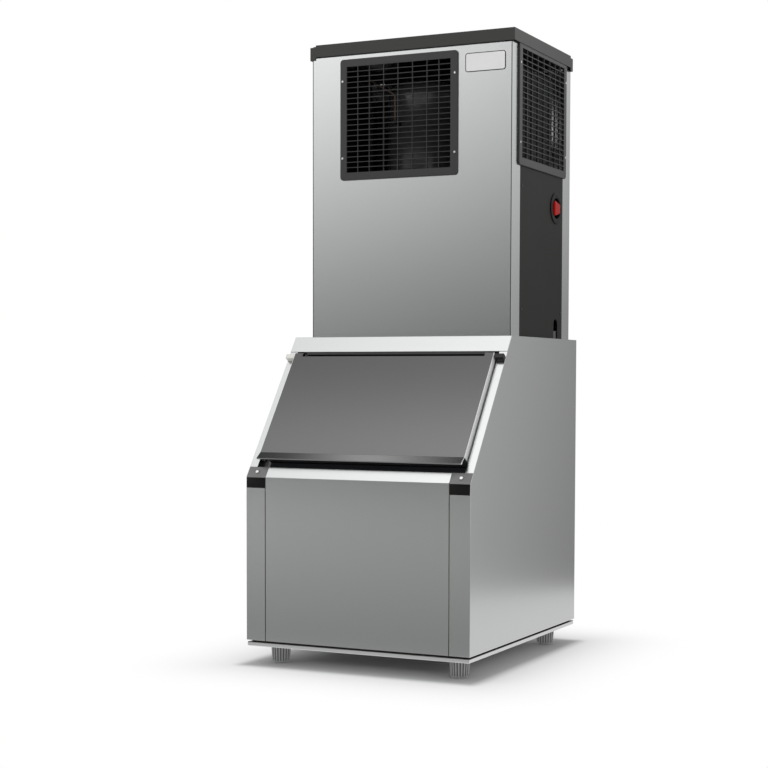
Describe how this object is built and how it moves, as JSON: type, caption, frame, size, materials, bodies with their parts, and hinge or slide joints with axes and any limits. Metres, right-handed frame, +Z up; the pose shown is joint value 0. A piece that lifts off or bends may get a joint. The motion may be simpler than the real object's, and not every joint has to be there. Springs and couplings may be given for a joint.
{
  "type": "ice machine",
  "caption": "Ice machine: a steel-clad ice-making head with dark louvred grilles and a red rotary switch, on an insulated storage bin with a sloped lift-up door.",
  "frame": {"origin": "on the floor under the middle of the bin", "axes": "+X to the machine's right as seen from the front, +Y from the front to the back, +Z up"},
  "size_m": [0.56, 0.65, 1.4535],
  "materials": {
    "brushed_steel": "fine vertical brushing, satin",
    "door_steel": "fine brushing across the door, satin",
    "galvanized": "zinc grey, dull",
    "base_steel": "grey, satin",
    "dark_panel": "dark charcoal powder coat, satin",
    "grille_plastic": "near-black moulded plastic, satin",
    "black_plastic": "black, semi-gloss",
    "foot_plastic": "dark grey ribbed plastic",
    "liner_plastic": "dark blue-grey moulded plastic",
    "white_plastic": "off-white moulded plastic",
    "clear_plastic": "clear sheet",
    "foam": "pale yellow foam",
    "rubber": "black rubber",
    "hose": "pale flexible tube",
    "screw_steel": "bright zinc",
    "badge": "plain satin plate with a dark edge",
    "red_plastic": "signal red, glossy",
    "compressor_paint": "black enamel",
    "aluminium": "bare aluminium",
    "copper": "copper tube",
    "evaporator_plate": "nickel-plated copper",
    "brass": "machined brass"
  },
  "bodies": {
    "cabinet": {"bin_right_panel": "brushed_steel", "bin_left_panel": "brushed_steel", "bin_front_panel": "brushed_steel", "bin_top_cover": "brushed_steel", "bin_back_panel": "brushed_steel", "head_front_panel": "brushed_steel", "head_back_panel": "brushed_steel", "bin_bottom_panel": "galvanized", "head_base_pan": "galvanized", "mid_deck": "galvanized", "condenser_shroud": "galvanized", "fan_motor_bracket": "galvanized", "connection_plate": "galvanized", "bin_base_frame": "base_steel", "head_right_panel": "dark_panel", "head_left_panel": "dark_panel", "head_lid": "dark_panel", "front_grille": "grille_plastic", "side_grille": "grille_plastic", "corner_cap_right": "black_plastic", "corner_cap_left": "black_plastic", "switch_plate": "black_plastic", "switch_body": "black_plastic", "door_hinge_blocks": "black_plastic", "cable_gland": "black_plastic", "float_valve": "black_plastic", "water_pump": "black_plastic", "bin_liner": "liner_plastic", "bin_drain": "white_plastic", "water_distributor": "white_plastic", "water_sump": "white_plastic", "control_box": "white_plastic", "bin_insulation": "foam", "header_wiper_strip": "rubber", "lid_seal_strips": "rubber", "compressor_mounts": "rubber", "water_tubes": "hose", "corner_cap_screws": "screw_steel", "head_screws": "screw_steel", "door_hinge_pins": "screw_steel", "badge_plate": "badge", "compressor": "compressor_paint", "condenser": "aluminium", "fan_motor": "aluminium", "filter_drier": "aluminium", "evaporator_coil": "copper", "refrigerant_lines": "copper", "evaporator": "evaporator_plate", "water_inlet": "brass"},
    "door": {"door_skin": "door_steel", "door_core": "liner_plastic", "door_gasket": "rubber"},
    "switch_knob": {"switch_knob": "red_plastic"},
    "fan": {"condenser_fan": "aluminium"},
    "curtain": {"water_curtain": "clear_plastic"},
    "float": {"float_arm": "white_plastic"},
    "foot_front_left": {"foot_front_left": "foot_plastic"},
    "foot_front_right": {"foot_front_right": "foot_plastic"},
    "foot_back_left": {"foot_back_left": "foot_plastic"},
    "foot_back_right": {"foot_back_right": "foot_plastic"}
  },
  "joints": [
    {"name": "door_hinge", "type": "hinge", "parent": "cabinet", "child": "door", "pos_m": [0, -0.14084, 0.7059], "axis": [-1, 0, 0], "range_deg": [0, 150]},
    {"name": "switch_turn", "type": "hinge", "parent": "cabinet", "child": "switch_knob", "pos_m": [0.259, 0.229, 1.072], "axis": [1, 0, 0], "range_deg": [0, 90]},
    {"name": "fan_spin", "type": "hinge", "parent": "cabinet", "child": "fan", "pos_m": [0.193, 0.106, 1.2495], "axis": [1, 0, 0], "continuous": true},
    {"name": "curtain_swing", "type": "hinge", "parent": "cabinet", "child": "curtain", "pos_m": [0, 0.1038, 1.092], "axis": [-1, 0, 0], "range_deg": [0, 30]},
    {"name": "float_swing", "type": "hinge", "parent": "cabinet", "child": "float", "pos_m": [0.172, 0.228, 0.8225], "axis": [-1, 0, 0], "range_deg": [0, 20]},
    {"name": "foot_front_left_level", "type": "slide", "parent": "cabinet", "child": "foot_front_left", "axis": [0, 0, -1], "range_m": [0, 0.006]},
    {"name": "foot_front_right_level", "type": "slide", "parent": "cabinet", "child": "foot_front_right", "axis": [0, 0, -1], "range_m": [0, 0.006]},
    {"name": "foot_back_left_level", "type": "slide", "parent": "cabinet", "child": "foot_back_left", "axis": [0, 0, -1], "range_m": [0, 0.006]},
    {"name": "foot_back_right_level", "type": "slide", "parent": "cabinet", "child": "foot_back_right", "axis": [0, 0, -1], "range_m": [0, 0.006]}
  ]
}
